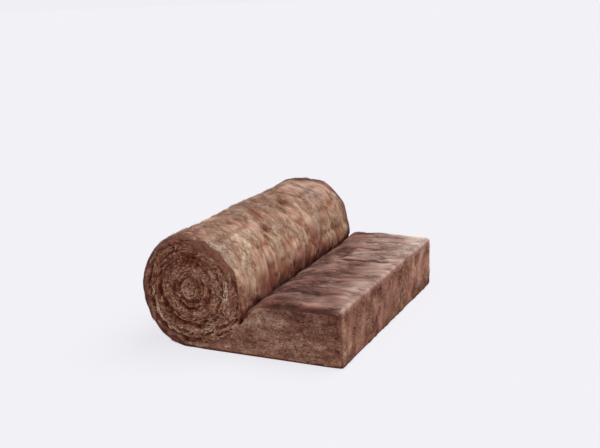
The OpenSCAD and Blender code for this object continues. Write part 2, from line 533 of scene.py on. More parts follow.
def end_mesh(side):
    """Points of an end inside the shell's last ring, and the triangles of both."""
    ring = shell[:, 0 if side < 0 else -1][:, [0, 2]]
    found = []
    for level in LEVELS * TURN:
        angle, chosen = 0.0, []
        while angle < 360 * (ROLL_R - EYE_R * 0.4 - level) / TURN:
            r = face_r(angle) - level
            if r < 0.004:
                break
            chosen.append(angle)
            angle += math.degrees(TURN_STEP / max(r, 0.01))
        found.append(face_point(np.array(chosen), -level))
    tail_z = np.arange(0.002, THICK + 0.02, TAIL_GRID * 0.9)
    gx, gz = np.meshgrid(np.arange(AXIS[0], TIP_X, TAIL_GRID), tail_z)
    tail_pts = np.stack([gx.ravel(), gz.ravel()], -1)
    tail_pts[:, 0] += np.tile(np.arange(gx.shape[0])[:, None] % 2 * TAIL_GRID / 2, gx.shape[1]).ravel()
    tail_pts += np.random.default_rng(3).uniform(-0.0012, 0.0012, tail_pts.shape)
    wnd, _, tail, r = in_wool(tail_pts[:, 0], tail_pts[:, 1])
    pts = np.concatenate(found + [tail_pts[tail & (r - face_r(wnd) > 0.004)]])
    pts = pts[inside(pts, ring)]
    off = distance(pts, ring)
    pts, off = pts[off > RING_CLEAR], off[off > RING_CLEAR]
    every = [Vector(q) for q in ring] + [Vector(q) for q in pts]
    verts, _, faces, origin, _, _ = delaunay_2d_cdt(every, [], [list(range(len(ring)))], 1, 1e-6)
    assert len(verts) == len(every), f"end mesh made {len(verts) - len(every)} points more"
    tris = np.array([[origin[i][0] for i in f] for f in faces])
    depth = end_depth(pts[:, 0], pts[:, 1], side)
    edge = ends_in[0 if side < 0 else 1]
    nearest = np.array([np.argmin(((ring - q) ** 2).sum(1)) for q in pts])
    depth = edge[nearest] + (depth - edge[nearest]) * smooth(0, 0.020, off)
    return np.stack([pts[:, 0], side * (HALF_W - depth), pts[:, 1]], -1), tris


def shell_index(row, column):
    return (row % count) * columns + column


rows, cols = np.meshgrid(np.arange(count), np.arange(columns - 1), indexing="ij")
quads = np.stack([
    shell_index(rows, cols), shell_index(rows, cols + 1),
    shell_index(rows + 1, cols + 1), shell_index(rows + 1, cols)], -1).reshape(-1, 4)
near_xyz, near_tris = end_mesh(-1)
far_xyz, far_tris = end_mesh(1)


def placed(tris, column, first, flip):
    """Renumbers an end's triangles into the whole mesh."""
    out = np.where(tris < count, tris * columns + column, tris - count + first)
    return out[:, ::-1] if flip else out


n_shell = count * columns
near_tris = placed(near_tris, 0, n_shell, False)
far_tris = placed(far_tris, columns - 1, n_shell + len(near_xyz), True)
flat_verts = np.concatenate([shell.reshape(-1, 3), near_xyz, far_xyz])


# ---- the blanket isn't quite the same all the way across
def settled(xyz):
    """Shifts points as the real wool has settled: the roll fuller at the far end, the nip slightly askew."""
    x, y, z = xyz[..., 0], xyz[..., 1], xyz[..., 2]
    dx, dz = x - AXIS[0], z - AXIS[1]
    r = np.maximum(np.hypot(dx, dz), 1e-4)
    theta = angle_of(dx, dz)
    near, far = smooth(0.15, -HALF_W, y), smooth(-0.05, HALF_W, y)
    at_near = -0.007 * bump_at(theta, 112, 34) - 0.004 * bump_at(theta, 225, 38)
    at_near = at_near + 0.009 * bump_at(theta, 35, 20)
    at_far = 0.041 * bump_at(theta, 230, np.where(theta < 230, 42, 64))
    at_far = at_far + 0.024 * bump_at(theta, 279, 14) - 0.004 * bump_at(theta, 150, 20)
    above = r - face_r(np.minimum(theta, NIP))                       # out from the roll's face
    push = near * at_near + far * at_far
    push = push * np.minimum(r / ROLL_R, 1) ** 1.5 * np.exp(-(np.maximum(above, 0) / 0.04) ** 2)
    askew = -0.018 * y / HALF_W * np.exp(-((x - nip[0]) ** 2 + (z - nip[1]) ** 2) / 0.09 ** 2)
    tip = (0.003 + 0.009 * y / HALF_W) * smooth(0.45, 0.70, dx)
    droop = -0.006 * far * smooth(0.25, 0.5, dx) * z / THICK
    crowded = 0.005 + 0.014 * bump_at(y, -0.42, 0.14) + 0.019 * smooth(-0.1, HALF_W, y)
    crowded = crowded * bump_at(dx, 0.275, 0.085) * smooth(0, 0.02, above) * np.minimum(z / 0.2, 1) * (dx > 0)
    z = np.maximum(z + dz / r * push + droop + crowded, 0)
    return np.stack([x + dx / r * push + askew + tip, y, z], -1)


# ---- meshes
def build(name, verts, faces, material, uv, **values):
    """A mesh object from arrays. values go on its points, and uv, the bake's map, on its faces' corners."""
    mesh = bpy.data.meshes.new(name)
    mesh.vertices.add(len(verts))
    mesh.vertices.foreach_set("co", verts.astype(np.float32).ravel())
    sizes = np.concatenate([np.full(len(f), f.shape[1]) for f in faces])
    corners = np.concatenate([f.ravel() for f in faces])
    mesh.loops.add(len(corners))
    mesh.loops.foreach_set("vertex_index", corners.astype(np.int32))
    mesh.polygons.add(len(sizes))
    starts = np.concatenate([[0], np.cumsum(sizes)[:-1]])
    mesh.polygons.foreach_set("loop_start", starts.astype(np.int32))
    mesh.polygons.foreach_set("loop_total", sizes.astype(np.int32))
    mesh.polygons.foreach_set("use_smooth", np.full(len(sizes), True))
    mesh.update(calc_edges=True)
    assert not mesh.validate(verbose=False), f"{name} had bad faces"
    for key, data in values.items():
        vector = data.ndim == 2
        layer = mesh.attributes.new(key, "FLOAT_VECTOR" if vector else "FLOAT", "POINT")
        layer.data.foreach_set("vector" if vector else "value", data.astype(np.float32).ravel())
    mesh.uv_layers.new(name="OFBake").uv.foreach_set("vector", uv.astype(np.float32).ravel())
    mesh.materials.append(material)
    obj = bpy.data.objects.new(name, mesh)
    bpy.context.scene.collection.objects.link(obj)
    return obj


def body_map():
    """The bake's map: the shell unrolled below, the two ends side by side above."""
    u = np.append(along, along[-1] + gap[-1]) / (along[-1] + gap[-1])
    v = 0.735 * (Y + HALF_W) / (2 * HALF_W)
    shell_uv = np.stack([
        np.stack([u[rows], v[cols]], -1), np.stack([u[rows], v[cols + 1]], -1),
        np.stack([u[rows + 1], v[cols + 1]], -1), np.stack([u[rows + 1], v[cols]], -1)], 2).reshape(-1, 2)
    ends_uv = [0.01 + 0.48 * (flat_verts[:, 0] - low.x + 0.02) / 1.04, 0.745 + 0.25 * flat_verts[:, 2] / 0.56]
    flat = np.stack(ends_uv, -1)
    return np.concatenate([shell_uv, flat[near_tris.ravel()], flat[far_tris.ravel()] + np.array([0.5, 0])])


# ---- materials
def nodes_of(name):
    material = bpy.data.materials.new(name)
    material.use_nodes = True
    tree = material.node_tree
    tree.nodes.clear()
    return material, tree


def add(tree, kind_, **given):
    node = tree.nodes.new("ShaderNode" + kind_)
    for key, value in given.items():
        if key in node.inputs:
            node.inputs[key].default_value = value
        else:
            setattr(node, key, value)
    return node


def ramp(tree, fac, stops):
    node = tree.nodes.new("ShaderNodeValToRGB")
    elements = node.color_ramp.elements
    while len(elements) > 1:
        elements.remove(elements[-1])
    for i, (at, colour) in enumerate(stops):
        e = elements[0] if i == 0 else elements.new(at)
        e.position = at
        e.color = (*colour, 1)
    tree.links.new(fac, node.inputs["Fac"])
    return node.outputs["Color"]


WOOL_TONES = [
    (0.00, (0.030, 0.008, 0.005)),
    (0.25, (0.157, 0.040, 0.020)),
    (0.50, (0.325, 0.141, 0.081)),
    (0.75, (0.548, 0.345, 0.230)),
    (1.00, (0.820, 0.650, 0.480)),
]

# The wool greyed, in part as a painted sheen where the cool light from above falls.
GREY_CAST_TONES = [
    (0.00, (0.034, 0.014, 0.012)),
    (0.25, (0.145, 0.062, 0.050)),
    (0.50, (0.310, 0.172, 0.136)),
    (0.75, (0.525, 0.365, 0.300)),
    (1.00, (0.790, 0.655, 0.570)),
]

# The deep red given to painted shade.
SHADE_RED_TONES = [(0.0, (0.085, 0.012, 0.006)), (0.5, (0.275, 0.075, 0.040)), (1.0, (0.640, 0.380, 0.270))]


def mixed(tree, fac, first, second):
    """A colour between two others."""
    mix = tree.nodes.new("ShaderNodeMix")
    mix.data_type = "RGBA"
    colours = [s for s in mix.inputs if s.type == "RGBA"]
    tree.links.new(fac, mix.inputs["Factor"])
    tree.links.new(first, colours[0])
    tree.links.new(second, colours[1])
    return next(s for s in mix.outputs if s.type == "RGBA")


def attribute(tree, name, output="Fac"):
    return add(tree, "Attribute", attribute_name=name).outputs[output]


def wool_colour(tree, tone):
    """The wool's colour for a tone. Its grey, partly a painted sheen of the cool light from above, takes it
    from warm to grey, and its red, the colour painted shade takes, to deep red.
    """
    warm, grey = ramp(tree, tone, WOOL_TONES), ramp(tree, tone, GREY_CAST_TONES)
    plain = mixed(tree, attribute(tree, "dust"), warm, grey)
    return mixed(tree, attribute(tree, "stain"), plain, ramp(tree, tone, SHADE_RED_TONES))


def maths(tree, operation, a, b):
    node = tree.nodes.new("ShaderNodeMath")
    node.operation = operation
    for socket, value in zip(node.inputs, (a, b)):
        if hasattr(value, "links"):
            tree.links.new(value, socket)
        else:
            socket.default_value = value
    return node.outputs[0]


def streak(tree, lay, stretch, detail=3.0):
    """Noise drawn out along the wool: stretch is cycles a metre along, across and through."""
    mapping = add(tree, "Mapping")
    mapping.inputs["Scale"].default_value = stretch
    tree.links.new(lay, mapping.inputs["Vector"])
    tex = add(tree, "TexNoise", Scale=1.0, Detail=detail, Roughness=0.6)
    tree.links.new(mapping.outputs[0], tex.inputs["Vector"])
    return tex.outputs["Fac"]


def swing(tree, tone, noise_value, strength):
    """A tone with noise about 0.5 added to it, that much of it."""
    away = maths(tree, "SUBTRACT", noise_value, 0.5)
    return maths(tree, "ADD", tone, maths(tree, "MULTIPLY", away, strength))


def wool_shader(tree, colour, noise_value, smoothest, specular):
    """A rough surface of that colour, whose roughness wanders a little."""
    shader = add(tree, "BsdfPrincipled")
    shader.inputs["Specular IOR Level"].default_value = specular
    tree.links.new(colour, shader.inputs["Base Color"])
    roughness = maths(tree, "ADD", maths(tree, "MULTIPLY", noise_value, 0.2), smoothest)
    tree.links.new(roughness, shader.inputs["Roughness"])
    out = add(tree, "OutputMaterial")
    tree.links.new(shader.outputs[0], out.inputs["Surface"])
    return shader


def wool_surface():
    material, tree = nodes_of("wool_surface")
    lay = attribute(tree, "lay", "Vector")
    fine = streak(tree, lay, (34, 190, 190))
    hair = streak(tree, lay, (60, 900, 900), detail=1.5)
    mottle = streak(tree, lay, (7, 12, 30))
    strength = maths(tree, "ADD", maths(tree, "MULTIPLY", attribute(tree, "fray"), 0.50), 0.16)
    tone = swing(tree, attribute(tree, "tone"), fine, strength)
    tone = swing(tree, swing(tree, tone, hair, strength), mottle, 0.14)
    shader = wool_shader(tree, wool_colour(tree, tone), hair, 0.75, 0.12)
    shader.inputs["Sheen Weight"].default_value = 0.06
    shader.inputs["Sheen Roughness"].default_value = 0.5
    relief = add(tree, "Bump", Strength=0.8, Distance=0.0022)
    tree.links.new(maths(tree, "ADD", fine, maths(tree, "MULTIPLY", hair, 0.35)), relief.inputs["Height"])
    tree.links.new(relief.outputs[0], shader.inputs["Normal"])
    return material


def wool_fibre():
    material, tree = nodes_of("wool_fibre")
    fine = streak(tree, attribute(tree, "lay", "Vector"), (60, 300, 300), detail=1.0)
    tone = swing(tree, attribute(tree, "tone"), fine, 0.3)
    wool_shader(tree, wool_colour(tree, tone), fine, 0.6, 0.08)
    return material


# ---- the body
def lay_of(xyz):
    """Where points lie in the wool itself: along the blanket, across it, and through it."""
    wnd, inward, tail, _ = in_wool(xyz[:, 0], xyz[:, 2])
    s = np.where(tail, AXIS[0] - xyz[:, 0], arc_length(wnd))
    t = np.where(tail, xyz[:, 2], inward)
    return np.stack([s, xyz[:, 1], t], -1)


def off_nip(places):
    return np.hypot(places[:, 0] - nip[0], places[:, 2] - nip[1])


def dust_of(places, on_end):
    """How grey the wool is painted: most on the tail's top, where it is a painted sheen of the cool light
    from above, some on the ends, little on the roll but its far rim.
    """
    wnd, _, tail, r = in_wool(places[:, 0], places[:, 2])
    theta = wnd % 360
    x, y, z = places[:, 0] - AXIS[0], places[:, 1], places[:, 2]
    shaded = smooth(-0.30, -0.50, y) * smooth(0.44, 0.32, x)
    # Painted sheen: the tail's top is painted greyer where the cool light from above falls, and less where
    # shade lies near the front.
    top = smooth(0.10, 0.22, z) * smooth(0.715, 0.69, x) * (1 - np.exp(-(off_nip(places) / 0.05) ** 2))
    top = top * (1 - 0.3 * smooth(-0.50, -0.60, y) - 0.35 * shaded)
    on_tail = np.where(x > CUT_FROM, 0.08 + 0.7 * smooth(0.228, 0.250, z), 0) + 0.95 * top
    on_roll = (
        0.30 * smooth(250, 200, theta) * smooth(90, 150, theta) - 0.25 * smooth(240, 265, theta)
        + 0.06 * smooth(-0.54, -0.59, y) + 0.70 * smooth(0.52, 0.59, y) + spots(PATCHES, theta, y, GREYER)
    )
    dust = np.where(tail, on_tail, on_roll) + 0.22 * noise(x / 0.09 + 3, y / 0.09, z / 0.09)
    in_end = np.where(tail, 0.42 + 0.25 * smooth(0.16, 0.25, z), 0.22 + 0.5 * smooth(0.225, 0.250, r))
    return np.clip(np.where(on_end, in_end, dust), 0, 1)


def crevice(theta, y):
    """1 on the roll's face where it dives in beside the tail, 0 elsewhere: where a painted shadow line runs.
    """
    narrow = 285.2 + 0.6 * smooth(-0.56, -0.60, y) - 11.0 * smooth(0.22, 0.60, y)
    narrow = narrow + 1.2 * noise(y / 0.05, y * 0)
    return smooth(narrow - 0.5, narrow + 1.0, theta)


def stain_of(places, on_end):
    """Where the wool is painted deep red, the colour its shade takes: the crevice, the roll's lower side and
    dimples, and the ends' pits and seams.
    """
    wnd, _, tail, _ = in_wool(places[:, 0], places[:, 2])
    theta, y = wnd % 360, places[:, 1]
    on_roll = 0.95 * crevice(theta, y) + 0.38 * smooth(256, 276, theta) + 0.1 * smooth(0.50, 0.59, y)
    on_roll = on_roll + spots(PATCHES, theta, y, REDDER)
    stain = np.where(tail, 0, on_roll) + 0.9 * np.exp(-(off_nip(places) / 0.020) ** 2)
    for side in (-1, 1):
        end = on_end & (np.sign(y) == side)
        if end.any():
            e = end_parts(places[end, 0], places[end, 2], side)
            red = 0.8 * bump_at(theta[end], 183, 20) * bump_at(e.r, 0.147, 0.028)
            red = red + 0.20 * smooth(0.225, 0.250, e.r)
            stain[end] = 0.50 * e.seam + np.where(e.tail, 0.275 * e.pits, 0.55 * e.pits + red)
    return np.clip(stain, 0, 1)


def roll_tone(s, y, theta):
    """What the roll's outer face adds to the tone, with painted shade darkening its lower side towards the
    tail and a painted shadow line along the crevice.
    """
    rim = smooth(-0.53, -0.59, y)
    return (
        0.15 - 0.05 * smooth(215, 190, theta) - 0.23 * smooth(256, 284, theta) - 0.32 * smooth(0.51, 0.59, y)
        + 0.08 * rough(s / 0.105 + 20, (y + 0.3 * s) / 0.060, octaves=2)
        + rim * (0.20 * noise(s / 0.011, y / 0.012) + 0.02) * smooth(165, 190, theta)
        - 0.34 * rim * smooth(185, 158, theta)
        # painted shadow line along the crevice
        - (0.46 + 0.12 * smooth(-0.30, -0.50, y)) * crevice(theta, y)
        + spots(PATCHES, theta, y)
    )


def top_tone(x, y):
    """What the tail's top adds to the tone. x counts from the roll's axis. Its thin creases are painted
    shade.
    """
    return (
        -0.09 - 0.11 * smooth(-0.10, -0.32, y) - 0.10 * smooth(-0.572, -0.592, y) * smooth(0.40, 0.50, x)
        + 0.10 * bump_at(y, -0.556, 0.014) * smooth(0.46, 0.54, x) - 0.07 * smooth(0.45, 0.26, x)
        + 0.23 * smooth(0.56, 0.69, x) * smooth(-0.59, -0.50, y) + 0.04 * smooth(-0.2, 0.3, y)
        + 0.19 * smooth(0.20, 0.46, y) * smooth(0.38, 0.52, x) + 0.04 * bump_at(y, 0.12, 0.14)
        + spots(TOP_PATCHES, x, y) - crease_shade(x, y)
    )


def cut_tone(y, z):
    """The cut end's tone: blotches, and a painted highlight along the arris at its top."""
    blotches = 0.12 * rough((y - 0.5 * z) / 0.055 + 4, (z + 0.5 * y) / 0.085, octaves=3)
    return (
        0.42 + 0.08 * noise(y / 0.016, z / 0.011) + blotches - 0.03 * smooth(-0.4, -0.6, y)
        + 0.12 * bump_at(y, -0.585, 0.02) + 0.06 * smooth(0.25, 0.55, y) * smooth(0.06, 0.16, z)
        - 0.07 * smooth(0.07, 0.0, z) - 0.05 * bump_at(z, THICK - 0.035, 0.016)
        # painted highlight along the arris
        + (0.22 + 0.06 * smooth(0, 0.5, y)) * smooth(THICK - 0.015, THICK - 0.006, z)
        + spots(CUT_PATCHES, y, z)
    )


def end_tone(x, z, wnd, tail, side):
    """What an end adds to the tone: raised wool is painted lighter and seams and pits darker, as painted
    light and shade of its relief.
    """
    theta, reach = wnd % 360, x - AXIS[0]
    e = end_parts(x, z, side)
    # Painted light and shade of the end's relief.
    raised = np.where(tail, 0.07, 0.12) * np.tanh(end_relief(x, z, side) / 0.0035) * (1 - e.patch)
    grain = 0.09 * noise(np.radians(wnd) * e.r / 0.055, e.r / 0.008 + 40)
    grain = (grain + 0.09 * rough(x / 0.045 + 31, z / 0.045, octaves=2)) * (1 - e.patch)
    rim = 0.04 * smooth(0.236, 0.244, e.r) - 0.26 * smooth(0.250, 0.262, e.r)
    on_roll = (
        -0.09 - 0.36 * e.seam - 0.18 * e.pits + 0.09 * e.crumbs - 0.01 * e.patch + grain
        + 0.16 * bump_at(e.r, 0, 0.040) - 0.12 * bump_at(e.r, 0.062, 0.010)
        + spots(ARCS, theta, e.r) + spots(BOTTOM_ARCS, (theta + 180) % 360, e.r)
        + 0.06 * bump_at(theta, 325, 22) * smooth(0.20, 0.23, e.r)
        - 0.04 * bump_at(theta, 140, 40) * smooth(0.08, 0.15, e.r)
        - 0.05 * bump_at(theta, 75, 40) * smooth(0.22, 0.25, e.r)
        + 0.05 * smooth(-0.05, 0.15, reach * (1 - 0.3 * z)) + rim * (1 - bump_at(theta, 225, 50))
    )
    on_tail = (
        0.01 - 0.10 * e.pits + 0.04 * e.crumbs - 0.09 * smooth(0.60, 0.70, reach)
        # painted shadow under the near face's top edge
        - 0.20 * bump_at(z, THICK - 0.032, 0.034) * smooth(0.30, 0.45, reach)
        + 0.13 * rough(x / 0.085 + 11, z / 0.040, octaves=2) + spots(NEAR_PATCHES, reach, z) * (side < 0)
    )
    return raised + np.where(tail, on_tail, on_roll)


def tone_of(lay, places, on_end):
    """Light and dark of the wool, from about 0 to 1: streaks along it, and what each side adds, with painted
    light and shade among it.
    """
    s, y, t = lay.T
    x, z = places[:, 0] - AXIS[0], places[:, 2]
    skew = y + 0.10 * s
    tone = (
        0.5
        + 0.06 * noise(s / 0.085, skew / 0.020, t / 0.015)
        + 0.05 * rough(s / 0.20 + 9, skew / 0.12, t / 0.08, octaves=2)
        + 0.06 * noise(s / 0.04 + 2, skew / 0.011, t / 0.009)
    )
    wnd, _, tail, r = in_wool(places[:, 0], places[:, 2])
    theta = wnd % 360
    outer = (~tail) & (r > face_r(np.minimum(theta, NIP)) - TURN) & ~on_end
    tone += np.where(outer, roll_tone(s, y, theta), 0)
    top = tail & (z > THICK - 0.03 - 0.25 * smooth(0.42, 0.25, x)) & ~on_end
    tone += np.where(top, top_tone(x, y), 0)
    cut = tail & (x > CUT_FROM) & ~on_end
    turned = np.maximum(smooth(CUT_FROM, CUT_BY, x), smooth(THICK - 0.012, THICK - 0.030, z))
    tone = np.where(cut, tone + (cut_tone(y, z) - tone) * turned, tone)
    for side in (-1, 1):
        end = on_end & (np.sign(y) == side)
        if end.any():
            tone[end] += end_tone(places[end, 0], z[end], wnd[end], tail[end], side)
    # Painted shade in the crease where the roll meets the tail.
    tone -= 0.30 * np.exp(-(off_nip(places) / 0.018) ** 2) * ~on_end
    # A painted contact shadow along the bottom, where the wool meets the floor.
    tone -= 0.60 * smooth(np.where(cut, 0.016, 0.012), np.where(cut, 0.008, 0.004), z)
    return np.maximum(tone, 0.19 + 0.25 * (tone - 0.19))         # the darkest wool keeps some light


wool = wool_surface()
fibre = wool_fibre()

shell_places = np.stack([
    np.repeat(base[:, 0], columns), np.tile(Y, count), np.repeat(base[:, 1], columns)], -1)
lay_shell = lay_of(shell_places)
roll_rows = np.repeat((kind == ROLL) | (kind == SLOT), columns)
lay_shell[roll_rows, 0] = np.repeat(along, columns)[roll_rows]
lay_shell[roll_rows, 2] = 0.0
body_sets = [          # where the body's points lie, which of them are on an end, and their lay
    (shell_places, np.zeros(n_shell, bool), lay_shell),
    (near_xyz, np.ones(len(near_xyz), bool), lay_of(near_xyz)),
    (far_xyz, np.ones(len(far_xyz), bool), lay_of(far_xyz)),
]
lay_body = np.concatenate([lay for _, _, lay in body_sets])
tone_body = np.concatenate([tone_of(lay, places, on_end) for places, on_end, lay in body_sets])
dust_body = np.concatenate([dust_of(places, on_end) for places, on_end, _ in body_sets])
stain_body = np.concatenate([stain_of(places, on_end) for places, on_end, _ in body_sets])
# The relief's painted light and shade go on the shell, with painted shade in the crease between roll and
# tail.
tone_body[:n_shell] += relief_shading.ravel() + np.repeat(np.where(kind == SLOT, -0.10, 0.0), columns)
fray_body = [fray_shell.ravel()]
for end_xyz, side in ((near_xyz, -1), (far_xyz, 1)):
    e = end_parts(end_xyz[:, 0], end_xyz[:, 2], side)
    fray_body.append(np.where(e.tail, 0.12, 0.45 * (1 - e.patch)))
body = build(
    "wool_body", settled(flat_verts), [quads, near_tris, far_tris], wool, body_map(),
    lay=lay_body, tone=tone_body, fray=np.concatenate(fray_body), dust=dust_body, stain=stain_body)
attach(body, "root")
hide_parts("wool_blanket")


# ---- loose fibres
def spindles(paths, half_width, half_thick, up, sides):
    """Closed tapered strands. paths is strands, points, xyz, with a tip at each end."""
    n, k, _ = paths.shape
    run = np.gradient(paths, axis=1)
    run /= np.maximum(np.linalg.norm(run, axis=-1, keepdims=True), 1e-9)
    side = np.cross(run, up)
    side /= np.maximum(np.linalg.norm(side, axis=-1, keepdims=True), 1e-9)
    lift = np.cross(side, run)
    t = np.linspace(0, 1, k)[1:-1]
    swell = np.sin(np.pi * (0.12 + 0.76 * t))
    a = np.linspace(0, 2 * np.pi, sides, endpoint=False)
    ring = (
        paths[:, 1:-1, None]
        + side[:, 1:-1, None] * (np.cos(a) * half_width[:, None, None] * swell[:, None])[..., None]
        + lift[:, 1:-1, None] * (np.sin(a) * half_thick[:, None, None] * swell[:, None])[..., None])
    per = 2 + (k - 2) * sides
    verts = np.concatenate([paths[:, :1], ring.reshape(n, -1, 3), paths[:, -1:]], 1)
    first = (np.arange(n) * per)[:, None, None]
    j = np.arange(sides)
    jn = (j + 1) % sides
    start = np.stack([np.zeros_like(j), 1 + jn, 1 + j], -1)
    last = 1 + (k - 3) * sides
    end = np.stack([np.full_like(j, per - 1), last + j, last + jn], -1)
    band = np.stack([1 + j, 1 + jn, 1 + sides + jn, 1 + sides + j], -1)
    bands = np.concatenate([band + b * sides for b in range(k - 3)])
    tris = (first + np.concatenate([start, end])).reshape(-1, 3)
    return verts.reshape(-1, 3), [tris, (first + bands).reshape(-1, 4)], per


dy_, ds_ = np.gradient(shell, axis=1), np.gradient(shell, axis=0)
shell_up = np.cross(dy_, ds_)
shell_up /= np.maximum(np.linalg.norm(shell_up, axis=-1, keepdims=True), 1e-9)
if shell_up[int(np.argmax(kind == TOP)) + 30, columns // 2, 2] < 0:
    shell_up = -shell_up


def on_shell(field, i, j):
    i0 = np.clip(np.floor(i).astype(int), 0, count - 2)
    j0 = np.clip(np.floor(j).astype(int), 0, columns - 2)
    fi, fj = i - i0, j - j0
    if field.ndim == 3:
        fi, fj = fi[..., None], fj[..., None]
    return ((field[i0, j0] * (1 - fj) + field[i0, j0 + 1] * fj) * (1 - fi)
            + (field[i0 + 1, j0] * (1 - fj) + field[i0 + 1, j0 + 1] * fj) * fi)


EDGE_CLEAR = 0.004     # strands keep this far in from the blanket's two sides
FLOOR_CLEAR = 0.0015   # and this far off the floor
SHORTEST = 0.0008      # a strand with a shorter stretch has run into the edge of its area, and is left out
CLUMP_TRIES = 4        # places drawn for each clump wanted: the more frayed one is, the likelier it is kept


def shell_strands(name, first_row, last_row, clumps, each, length, width, thick, spread, lift, stray, sides=3,
                  k=4, heading=0.0, clump_r=0.012, tone_shift=0.0, to_y=HALF_W, own=0.10):
    """Strands of k points in clumps on rows of the shell. heading turns them from along to across."""
    n = clumps * each
    ci = rng.uniform(first_row, last_row, CLUMP_TRIES * clumps)
    cy = rng.uniform(-HALF_W + 0.012, to_y - 0.012, CLUMP_TRIES * clumps)
    fray = on_shell(frayed, ci, np.interp(cy, Y, np.arange(columns)))
    chosen = np.argsort(-(fray * 0.60 + rng.uniform(0, 1, CLUMP_TRIES * clumps)))[:clumps]
    ci, cy = ci[chosen], cy[chosen]
    ch = heading + rng.normal(0, spread, clumps)
    cl = rng.uniform(0.7, 1.25, clumps) * length
    ci, cy, ch, cl = (np.repeat(v, each) for v in (ci, cy, ch, cl))
    h = (ch + rng.normal(0, spread * 0.6, n))[:, None]
    size = (cl * rng.uniform(0.6, 1.15, n))[:, None]
    off = rng.normal(0, clump_r, n)[:, None]
    slip = (rng.normal(0, 0.3, n) * cl)[:, None]
    t = np.linspace(-0.5, 0.5, k)[None, :]
    run = slip + t * size
    cross = off + rng.normal(0, 0.05, (n, k)) * size
    i = np.clip(ci[:, None] + (run * np.cos(h) - cross * np.sin(h)) / GRID, first_row, last_row)
    y = cy[:, None] + (run * np.sin(h) + cross * np.cos(h))
    y = np.clip(y, -HALF_W + EDGE_CLEAR, HALF_W - EDGE_CLEAR)
    j = np.interp(y, Y, np.arange(columns))
    up = on_shell(shell_up, i, j)
    up /= np.maximum(np.linalg.norm(up, axis=-1, keepdims=True), 1e-9)
    raised = lift * rng.uniform(-0.6, 1.0, (n, 1)) + np.abs(t) ** 2 * 4 * np.abs(rng.normal(0, stray, (n, 1)))
    paths = on_shell(shell, i, j) + up * raised[..., None]
    paths[..., 2] = np.maximum(paths[..., 2], FLOOR_CLEAR)
    wide, deep = width * rng.uniform(0.6, 1.3, n), thick * rng.uniform(0.7, 1.2, n)
    own_tone = rng.normal(0, own, n) + np.repeat(rng.normal(0, 0.06, clumps), each)
    whole = np.linalg.norm(np.diff(paths, axis=1), axis=-1).min(1) > SHORTEST
    paths, up, wide, deep, i, j, y, own_tone = (v[whole] for v in (paths, up, wide, deep, i, j, y, own_tone))
    verts, faces, per = spindles(paths, wide, deep, up, sides)
    row, mid_y, middle = i[:, k // 2], y[:, k // 2], paths[:, k // 2]
    run_at, x_at, z_at = (np.interp(row, np.arange(count), v) for v in (along, base[:, 0], base[:, 1]))
    places = np.stack([x_at, mid_y, z_at], -1)
    rolled = kind[np.clip(np.round(row).astype(int), 0, count - 1)] == ROLL
    lay = [np.where(rolled, run_at, AXIS[0] - middle[:, 0]), mid_y, np.where(rolled, 0.0, z_at)]
    on_end = np.zeros(len(paths), bool)
    # A strand takes the painted light and shade of the relief under it.
    tone = tone_of(np.stack(lay, -1), places, on_end) + on_shell(relief_shading, row, j[:, k // 2])
    lay = np.stack([np.repeat(run_at, per), verts[:, 1], verts[:, 2]], -1)
    dust, stain = dust_of(places, on_end), stain_of(places, on_end)
    finish_strands(name, verts, faces, per, lay, tone + tone_shift + own_tone, dust, stain)


def finish_strands(name, verts, faces, per, lay, tone, dust, stain):
    """Makes the piece. Its tone, its grey (partly a painted sheen) and its red (the colour of painted shade)
    have a value for each strand, and a strand has per points.
    """
    tone, dust, stain = (np.repeat(v, per) for v in (tone, dust, stain))
    corner = np.concatenate([f.ravel() for f in faces])
    # Wool of like tone and grey shares a place in the bake.
    by_tone = np.stack([0.04 + 0.92 * np.clip(tone, 0, 1), 0.04 + 0.86 * dust], -1)[corner]
    by_tone += np.stack([corner % 3 * 0.003, corner // 3 % 5 * 0.012], -1)
    obj = build(name, settled(verts), faces, fibre, by_tone, lay=lay, tone=tone, dust=dust, stain=stain)
    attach(obj, "root")


